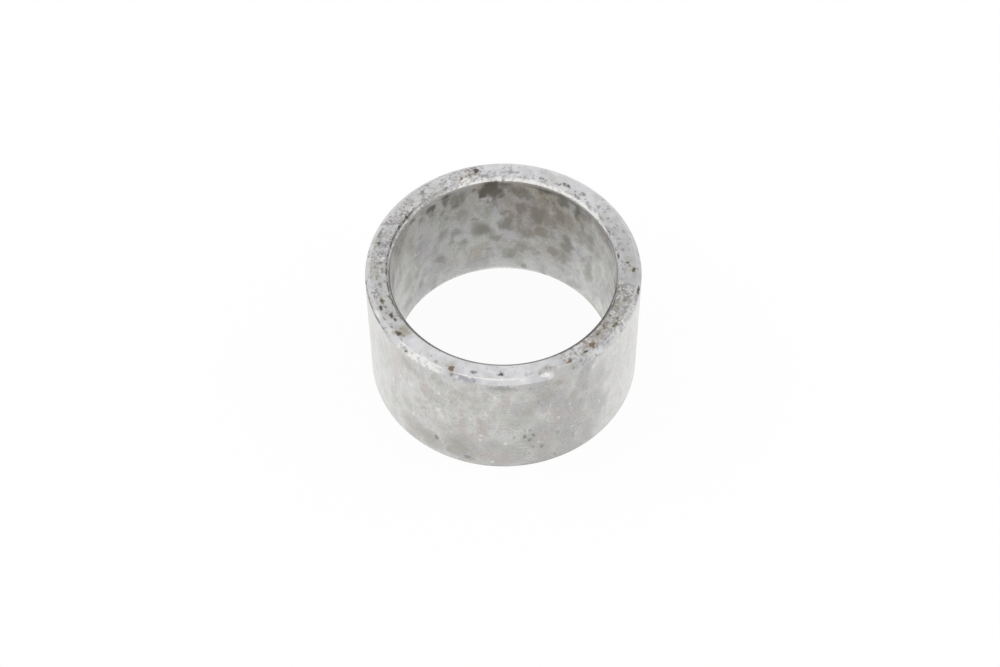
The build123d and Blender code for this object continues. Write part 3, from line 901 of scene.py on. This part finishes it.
print("deepest mark, mm:", round(depth.max() / MM, 3))

# %% [markdown]
# ## Helpers for the materials
#
# Every material here is a small tree of nodes. One function adds a node. The others are named for
# what they make of several nodes: a patchy pattern of a given real size, specks that crowd where
# the crust is thick, thin curling lines, a painted mark whose thin parts are broken up, and a
# stack of coats, each covering the ones below as far as its pattern says.

# %% Node helpers
def linear(code):
    """An sRGB hex colour as the linear red, green, blue and alpha that a shader works in."""
    channels = [int(code[i:i + 2], 16) / 255 for i in (0, 2, 4)]
    return [c / 12.92 if c <= 0.04045 else ((c + 0.055) / 1.055) ** 2.4 for c in channels] + [1.0]


def add_node(tree, kind, inputs=(), output=0, **settings):
    """Add a node with its settings and give back one of its outputs.

    Inputs are a list, in the order the node shows them, or a dictionary by name. Each is a value,
    or another node's output to link from.
    """
    node = tree.nodes.new(kind)
    for name, value in settings.items():
        setattr(node, name, value)
    shown = [socket for socket in node.inputs if socket.enabled]
    named = inputs.items() if isinstance(inputs, dict) else enumerate(inputs)
    for key, value in named:
        socket = node.inputs[key] if isinstance(key, str) else shown[key]
        if isinstance(value, bpy.types.NodeSocket):
            tree.links.new(value, socket)
        else:
            socket.default_value = value
    outputs = [socket for socket in node.outputs if socket.enabled]
    return node.outputs[output] if isinstance(output, str) else outputs[output]


def new_material(name):
    """A material with a Principled surface: the material, its tree, the surface, the object's place."""
    material = bpy.data.materials.new(name)
    material.use_nodes = True
    tree = material.node_tree
    surface = tree.nodes["Principled BSDF"]
    return material, tree, surface, add_node(tree, "ShaderNodeTexCoord", output="Object")


def patches(tree, place, size, detail=3.0, squash=(1, 1, 1), shift=(0, 0, 0)):
    """Noise from 0 to 1 whose patches are about size metres across, squashed or shifted if need be."""
    moved = add_node(tree, "ShaderNodeMapping", {"Vector": place, "Scale": squash, "Location": shift})
    return add_node(tree, "ShaderNodeTexNoise", {"Vector": moved, "Scale": 1 / size, "Detail": detail})


def gathered(tree, specks, cluster, density, pull, lift):
    """A pattern of specks, raised where a slower pattern and a density are high, so that they crowd."""
    crowded = add_node(tree, "ShaderNodeMath", (cluster, pull, specks), operation="MULTIPLY_ADD")
    return add_node(tree, "ShaderNodeMath", (density, lift, crowded), operation="MULTIPLY_ADD")


def hairlines(tree, place, size, squash, shift=(0, 0, 0)):
    """A pattern that peaks along thin curling lines, where a noise passes through its middle value."""
    swell = patches(tree, place, size, 2.0, squash, shift)
    return add_node(tree, "ShaderNodeMath", (swell, 0.5), operation="PINGPONG")


def painted(tree, field, grain, start=0.55, full=0.8):
    """A field of the mesh as a mask, whose thin parts are broken up by a grain."""
    value = add_node(tree, "ShaderNodeAttribute", output="Fac", attribute_name=field)
    broken = add_node(tree, "ShaderNodeMath", (value, grain), operation="ADD")
    whole = add_node(tree, "ShaderNodeMapRange", (broken, start, full), interpolation_type="SMOOTHSTEP")
    return add_node(tree, "ShaderNodeMath", (whole, value), operation="MULTIPLY")


def coats(tree, colour, layers):
    """Lay coats over a colour. Each has a pattern, where it starts and is full, its share, its colour."""
    for pattern, start, full, share, code in layers:
        limits = (pattern, start, full, 0.0, share)
        mask = add_node(tree, "ShaderNodeMapRange", limits, interpolation_type="SMOOTHSTEP")
        colour = add_node(tree, "ShaderNodeMix", (mask, colour, linear(code)), data_type="RGBA")
    return colour


def finish_surface(tree, surface, colour, relief, metallic, roughness, relief_depth):
    """Give a Principled surface its colour, its metal and its fine relief."""
    tree.links.new(colour, surface.inputs["Base Color"])
    surface.inputs["Metallic"].default_value = metallic
    surface.inputs["Roughness"].default_value = roughness
    bump = add_node(tree, "ShaderNodeBump", {"Height": relief, "Distance": relief_depth})
    tree.links.new(bump, surface.inputs["Normal"])


# %% [markdown]
# ## Faced steel
#
# The end face is mild steel, faced on the lathe and then left bare. Facing leaves a fine matt
# metal that mirrors the room as one soft pale tone, hence all metal and a middling roughness. Years
# of damp air have greyed it in clouds of two to three millimetres, with a faint violet or green
# cast, and sown it with dark specks of rust and pale crumbs between them. The real specks are a
# tenth of a millimetre or less. They are drawn at half a millimetre, so that they show.

# %% Faced steel
def faced_steel():
    """Bare steel of the end faces and chamfers: a cloudy grey metal with specks, rust, oil and pits."""
    material, tree, surface, place = new_material("faced_steel")
    dullness_and_light = add_node(tree, "ShaderNodeAttribute", output="Fac", attribute_name="dull_and_sheen")
    density = add_node(tree, "ShaderNodeAttribute", output="Fac", attribute_name="crust")
    cloud = patches(tree, place, 2.4 * MM, 3.0)
    tint = patches(tree, place, 3.4 * MM, 2.0)
    cluster = patches(tree, place, 1.7 * MM, 1.0)
    grain = patches(tree, place, 0.55 * MM, 2.0)
    coarse = patches(tree, place, 0.8 * MM, 2.0)
    tone = add_node(tree, "ShaderNodeMath", (cloud, 0.9, dullness_and_light), operation="MULTIPLY_ADD")
    specks = gathered(tree, grain, cluster, density, pull=0.5, lift=0.2)
    crumbs = gathered(tree, grain, cluster, density, pull=-0.5, lift=-0.2)
    scabs = gathered(tree, coarse, cluster, density, pull=0.6, lift=0.25)
    colour = coats(tree, linear("DBDBDD"), [
        # the dull tone; where it is low the face is lighter, partly cleaner steel and partly a painted sheen
        (tone, 0.4, 1.5, 1.0, "B4B4B3"),
        (tint, 0.5, 0.62, 0.25, "A8A5AE"),
        (tint, 0.46, 0.36, 0.25, "ADB0A6"),
        (painted(tree, "rose", cloud), 0.0, 1.0, 0.8, "A2A1A9"),
        (painted(tree, "olive", cloud), 0.0, 1.0, 0.5, "A5A696"),
        (specks, 0.96, 1.06, 0.55, "7A7670"),
        (scabs, 1.1, 1.2, 0.35, "8A8279"),
        (crumbs, -0.06, -0.16, 0.6, "E4E3DF"),
        # burnished metal, and painted highlights along the rim and the far lip of the bore
        (painted(tree, "burnish_and_glint", grain), 0.0, 0.9, 0.95, "F2F1EE"),
        (painted(tree, "rust", grain, 0.45, 0.65), 0.0, 1.0, 0.75, "A89A8E"),
        (painted(tree, "rust", grain, 1.0, 1.4), 0.0, 1.0, 0.88, "776858"),
        (painted(tree, "oil", grain, 0.45, 0.65), 0.0, 1.0, 0.75, "9C9888"),
        (painted(tree, "oil", grain, 1.0, 1.4), 0.0, 1.0, 0.9, "55523F"),
        # painted shade along the edges of the bore's chamfer and the outer edge
        (painted(tree, "edge_shade", grain), 0.0, 1.0, 0.85, "5B5855"),
        (painted(tree, "pit_and_shade", grain), 0.0, 1.0, 0.75, "86827E"),
        (painted(tree, "pit_and_shade", grain, 1.1, 1.4), 0.0, 1.0, 0.85, "504D4A"),
    ])
    finish_surface(tree, surface, colour, grain, metallic=1.0, roughness=0.42, relief_depth=0.03 * MM)
    return material


print("made", faced_steel().name)


# %% [markdown]
# ## Turned and handled steel
#
# The outer wall is the same steel, turned round instead of across, and then rubbed, oiled and
# gripped. A dry film of oil and oxide lies over it, so part of it scatters light like paint: the
# metallic share is below one, and a coat stands for the film, which is why the wall brightens
# towards its sides. Its grey shifts to violet, olive and beige in upright patches a few
# millimetres across, where the film has run. Fine scratches curl over it, each drawn as a dark
# line, partly painted shade in its groove, with a painted highlight a fifth of a millimetre lower,
# where its burr would catch the light: the same hairlines are read twice, the second time lower.
# They crowd in patches, and so do small dark cuts. The real grain is a tenth of a millimetre or
# less, and is drawn at four tenths, so that it shows.

# %% Turned steel
def turned_steel():
    """Handled steel of the outer wall: grey patches, scratches with painted shade and highlight, nicks, oil.
    """
    material, tree, surface, place = new_material("turned_steel")
    dullness_and_light = add_node(tree, "ShaderNodeAttribute", output="Fac", attribute_name="wash_and_shade")
    density = add_node(tree, "ShaderNodeAttribute", output="Fac", attribute_name="crust")
    upright = (1, 1, 0.6)
    tint = patches(tree, place, 2.6 * MM, 3.0, upright)
    cloud = patches(tree, place, 1.9 * MM, 3.0, upright)
    cluster = patches(tree, place, 5.0 * MM, 1.0)
    nick = patches(tree, place, 0.5 * MM, 2.0)
    grain = patches(tree, place, 0.4 * MM, 2.0)
    lengthwise = (1, 1, 2.5)
    lower = (0, 0, 0.5 * MM)  # a fifth of a millimetre, before the squash
    # a dark scratch, partly painted shade, and a pale copy lower down, a painted highlight on its burr
    shaded_scratch = hairlines(tree, place, 2.0 * MM, lengthwise)
    burr_glint = hairlines(tree, place, 2.0 * MM, lengthwise, lower)
    cuts = gathered(tree, nick, cluster, density, pull=0.4, lift=0.12)
    shaded_scratches = gathered(tree, shaded_scratch, cluster, density, pull=0.8, lift=0.06)
    burr_glints = gathered(tree, burr_glint, cluster, density, pull=0.8, lift=0.06)
    colour = coats(tree, linear("CECECC"), [
        # the washes, with a band of painted shade under the rim at the front
        (dullness_and_light, 0.0, 1.0, 0.8, "9A9A9C"),
        (tint, 0.5, 0.58, 0.45, "B9B0AD"),
        (tint, 0.49, 0.41, 0.35, "AFB2AA"),
        (painted(tree, "rose", cloud), 0.0, 1.0, 0.6, "B4A5A0"),
        (painted(tree, "olive", cloud), 0.0, 1.0, 0.4, "A9AC9B"),
        (cloud, 0.5, 0.66, 0.3, "A5A29D"),
        (cloud, 0.44, 0.3, 0.15, "D8D8D6"),
        (grain, 0.5, 0.66, 0.22, "DCDBD8"),
        (grain, 0.48, 0.34, 0.22, "96938F"),
        # painted highlights on the burrs, then the scratches, partly painted shade
        (burr_glints, 0.96, 1.06, 0.26, "DEDCD8"),
        (shaded_scratches, 0.96, 1.06, 0.28, "96918B"),
        (cuts, 0.87, 0.97, 0.3, "858079"),
        # painted shade under the rim at the front and along the low edge
        (painted(tree, "edge_shade", grain, 0.4, 0.9), 0.0, 1.0, 0.7, "7D7C79"),
        (painted(tree, "burnish_and_glint", grain), 0.0, 1.0, 0.65, "F0EEEA"),
        (painted(tree, "oil", grain, 0.45, 0.9), 0.0, 1.0, 0.75, "8F8C78"),
        # nicks, and a few spots of painted shade under the rim at the front
        (painted(tree, "pit_and_shade", grain, 0.85, 1.35), 0.0, 1.0, 0.75, "6B6761"),
    ])
    finish_surface(tree, surface, colour, cloud, metallic=0.6, roughness=0.5, relief_depth=0.02 * MM)
    surface.inputs["Coat Weight"].default_value = 1.0
    surface.inputs["Coat Roughness"].default_value = 0.3
    return material


print("made", turned_steel().name)


# %% [markdown]
# ## Stained bore
#
# The bore was bored to size and has carried an oiled shaft. It is a little rougher than the face,
# and darker the higher it goes: partly from oil that has crept to the upper edge and dried there,
# and partly as painted shade, deepest at the top of the bore. Over that lie the washes, the stains
# and the oil, with softer edges than the pits have, as a liquid leaves them.
# Its finest grain is drawn at half a millimetre, which is coarser than it is, so that it shows.

# %% Stained bore
def stained_bore():
    """Oiled steel of the bore: pale, darker upwards with oil and painted shade, under washes, stains, old
    oil.
    """
    material, tree, surface, place = new_material("stained_bore")
    dullness_and_light = add_node(tree, "ShaderNodeAttribute", output="Fac", attribute_name="dull_and_sheen")
    washed = add_node(tree, "ShaderNodeAttribute", output="Fac", attribute_name="wash_and_shade")
    height = add_node(tree, "ShaderNodeSeparateXYZ", {"Vector": place}, "Z")
    upright = (1, 1, 0.7)
    tint = patches(tree, place, 5.0 * MM, 2.0, upright)
    blotch = patches(tree, place, 2.6 * MM, 1.0, upright)
    grain = patches(tree, place, 1.2 * MM, 2.0, upright)
    fine = patches(tree, place, 0.5 * MM, 2.0)
    colour = coats(tree, linear("F1F1EE"), [
        (dullness_and_light, 0.0, 1.0, 1.0, "B4B5B5"),
        # darker upwards: partly oil dried near the top, and partly painted shade
        (height, low.z, high.z, 0.45, "9C9A96"),
        (washed, 0.0, 1.0, 0.75, "9E9483"),
        (tint, 0.5, 0.62, 0.3, "B2AFB6"),
        (tint, 0.47, 0.36, 0.3, "AEB2AA"),
        (painted(tree, "rose", blotch), 0.0, 1.0, 0.5, "A39EA6"),
        (painted(tree, "olive", blotch), 0.0, 1.0, 0.5, "999C8C"),
        (blotch, 0.5, 0.68, 0.3, "8B8984"),
        (fine, 0.52, 0.68, 0.22, "8B8984"),
        (fine, 0.48, 0.32, 0.22, "E4E3E0"),
        (painted(tree, "stain", grain, 0.35, 1.1), 0.0, 1.0, 0.78, "7F7B70"),
        # painted shade just under the bore's lip
        (painted(tree, "edge_shade", grain, 0.4, 1.0), 0.0, 1.0, 0.75, "787773"),
        (painted(tree, "oil", grain, 0.35, 1.1), 0.0, 1.0, 0.9, "5F5C51"),
    ])
    finish_surface(tree, surface, colour, blotch, metallic=0.9, roughness=0.5, relief_depth=0.02 * MM)
    return material


print("made", stained_bore().name)

# %% [markdown]
# ## Each stretch gets its finish
#
# A face of the mesh shows one material. Which one follows from where its middle lies: on the
# straight outer wall, on the straight bore, or, for all that is left, on an end or a chamfer.

# %% Give each stretch its finish
FINISHES = {"faced_steel": 0, "turned_steel": 1, "stained_bore": 2}
for name in FINISHES:
    mesh.materials.append(bpy.data.materials[name])


def finish_of(centre):
    """The slot of the finish of the surface that a point is on."""
    radius = math.hypot(centre.x, centre.y)
    if radius > outer_radius - EDGE_WEAR and low.z + outer_chamfer < centre.z < high.z - outer_chamfer:
        return FINISHES["turned_steel"]
    if radius < bore_radius + EDGE_WEAR and low.z + bore_chamfer < centre.z < high.z - bore_chamfer:
        return FINISHES["stained_bore"]
    return FINISHES["faced_steel"]


slots = [finish_of(polygon.center) for polygon in mesh.polygons]
mesh.polygons.foreach_set("material_index", slots)
print("faces of each finish:", {name: slots.count(slot) for name, slot in FINISHES.items()})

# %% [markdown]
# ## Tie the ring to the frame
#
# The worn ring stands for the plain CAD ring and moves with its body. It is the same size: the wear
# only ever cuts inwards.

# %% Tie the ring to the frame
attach(sleeve, "root")
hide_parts("spacer_sleeve")
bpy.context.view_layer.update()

# %% [markdown]
# ## White paper
#
# The ring stands on white paper. Paper lit only by the lamps would come out grey, so most of what
# the eye gets from it is a plain white glow of strength 1, and the small rest is real light on
# paper, which keeps the ring's soft shadow. Away from the ring nothing casts a shadow, and the glow
# is all there is. The metal has to mirror that same white, so the glow holds for glossy and
# transmission rays too, but it sheds no light of its own on the ring.

# %% Floor
def seen_directly(tree):
    """1 for a ray that carries a picture, to the camera or by a mirror or glass, and 0 for light."""
    camera_ray = add_node(tree, "ShaderNodeLightPath", output="Is Camera Ray")
    glossy_ray = add_node(tree, "ShaderNodeLightPath", output="Is Glossy Ray")
    clear_ray = add_node(tree, "ShaderNodeLightPath", output="Is Transmission Ray")
    either = add_node(tree, "ShaderNodeMath", (camera_ray, glossy_ray), operation="MAXIMUM")
    return add_node(tree, "ShaderNodeMath", (either, clear_ray), operation="MAXIMUM")


GLOW_NEAR = 0.95  # the share of glow beside the ring, where its shadow falls
SHADOW_REACH = (1.2 * outer_radius, 3 * outer_radius)  # from full shadow to none


def white_paper():
    """Matt white paper, seen as plain white but for the ring's shadow."""
    material, tree, surface, place = new_material("white_paper")
    surface.inputs["Base Color"].default_value = linear("F2F2F2")
    surface.inputs["Roughness"].default_value = 0.9
    away = add_node(tree, "ShaderNodeVectorMath", (place,), output="Value", operation="LENGTH")
    share = add_node(tree, "ShaderNodeMapRange", (away, *SHADOW_REACH, GLOW_NEAR, 1.0))
    share = add_node(tree, "ShaderNodeMath", (share, seen_directly(tree)), operation="MULTIPLY")
    glow = add_node(tree, "ShaderNodeEmission", {"Color": (1, 1, 1, 1), "Strength": 1.0})
    both = add_node(tree, "ShaderNodeMixShader", (share, surface.outputs["BSDF"], glow))
    tree.links.new(both, tree.nodes["Material Output"].inputs["Surface"])
    return material


FLOOR_HALF = 3.0  # metres
floor_mesh = bpy.data.meshes.new("floor")
ground = bmesh.new()
bmesh.ops.create_grid(ground, x_segments=1, y_segments=1, size=FLOOR_HALF)
ground.to_mesh(floor_mesh)
ground.free()
floor_mesh.materials.append(white_paper())
floor = bpy.data.objects.new("floor", floor_mesh)
bpy.context.scene.collection.objects.link(floor)
print("floor, m:", round(floor.dimensions.x, 1), "across")

# %% [markdown]
# ## A light tent
#
# Small shiny parts are shown in a tent of white cloth, lit from outside, so that metal mirrors
# plain white and its own colour comes out. The world is that tent. It is white where it is seen or
# mirrored, and a little darker as a source of light, because two softboxes add the rest.

# %% World
SKY_FOR_LIGHT = 0.65
world = bpy.data.worlds.new("light_tent")
bpy.context.scene.world = world
world.use_nodes = True
tree = world.node_tree
lift = (seen_directly(tree), 1 - SKY_FOR_LIGHT, SKY_FOR_LIGHT)
strength = add_node(tree, "ShaderNodeMath", lift, operation="MULTIPLY_ADD")
background = tree.nodes["Background"]
background.inputs["Color"].default_value = (1, 1, 1, 1)
tree.links.new(strength, background.inputs["Strength"])
print("tent as a light:", SKY_FOR_LIGHT)

# %% [markdown]
# ## Two softboxes
#
# A large softbox on each side lights the two flanks of the wall a little more than its front, which
# shows that the wall is round. They are hidden from mirror rays, because the tent is what the metal
# mirrors, and two bright panes in the chamfers would burn out.

# %% Lamps
SOFTBOX_SIZE = (1.2, 0.9)  # metres
RING_MIDDLE = Vector((0, 0, 0.01))


def softbox(name, place, watts):
    """A large rectangular lamp that faces the ring and isn't mirrored in it."""
    light = bpy.data.lights.new(name, "AREA")
    light.shape = "RECTANGLE"
    light.size, light.size_y = SOFTBOX_SIZE
    light.energy = watts
    lamp = bpy.data.objects.new(name, light)
    bpy.context.scene.collection.objects.link(lamp)
    lamp.location = place
    lamp.rotation_mode = "QUATERNION"
    lamp.rotation_quaternion = (RING_MIDDLE - Vector(place)).to_track_quat("-Z", "Y")
    lamp.visible_glossy = False
    return lamp


lamps = [
    softbox("softbox_left", (-1.2, 0.1, 0.4), watts=12.5),
    softbox("softbox_right", (1.2, 0.1, 0.4), watts=11.0),
]
print("lamps:", [lamp.name for lamp in lamps])

# %% [markdown]
# ## The camera
#
# The ring is looked down on from the front, at a little over 50 degrees, from near enough for the
# far side to come out visibly smaller. The elevation sets how round the opening looks, the distance
# how fast it narrows, and the lens how large it all comes out. The horizon is nearly half a degree
# off level, as it is when a camera is set by hand.

# %% Camera
VIEW_ELEVATION = 53.43  # degrees, from the middle of the upper face
VIEW_DISTANCE = 0.4678  # metres, from there too
LENS = 84.84  # mm
SENSOR = 36.0  # mm
AIM = Vector((-0.00075, 0, 0.00876))
ROLL = -0.43  # degrees

camera_data = bpy.data.cameras.new("camera")
camera_data.lens = LENS
camera_data.sensor_width = SENSOR
camera = bpy.data.objects.new("camera", camera_data)
bpy.context.scene.collection.objects.link(camera)
bpy.context.scene.camera = camera
rise = math.radians(VIEW_ELEVATION)
camera.location = Vector((0, -math.cos(rise), math.sin(rise))) * VIEW_DISTANCE + Vector((0, 0, high.z))
camera.rotation_mode = "QUATERNION"
level = (AIM - camera.location).to_track_quat("-Z", "Y")
camera.rotation_quaternion = level @ Quaternion((0, 0, 1), math.radians(ROLL))
print("camera at, mm:", [round(side / MM) for side in camera.location])

# %% [markdown]
# ## Finish
#
# The Standard view shows colours as they are written.

# %% Finish
bpy.context.scene.view_settings.view_transform = "Standard"
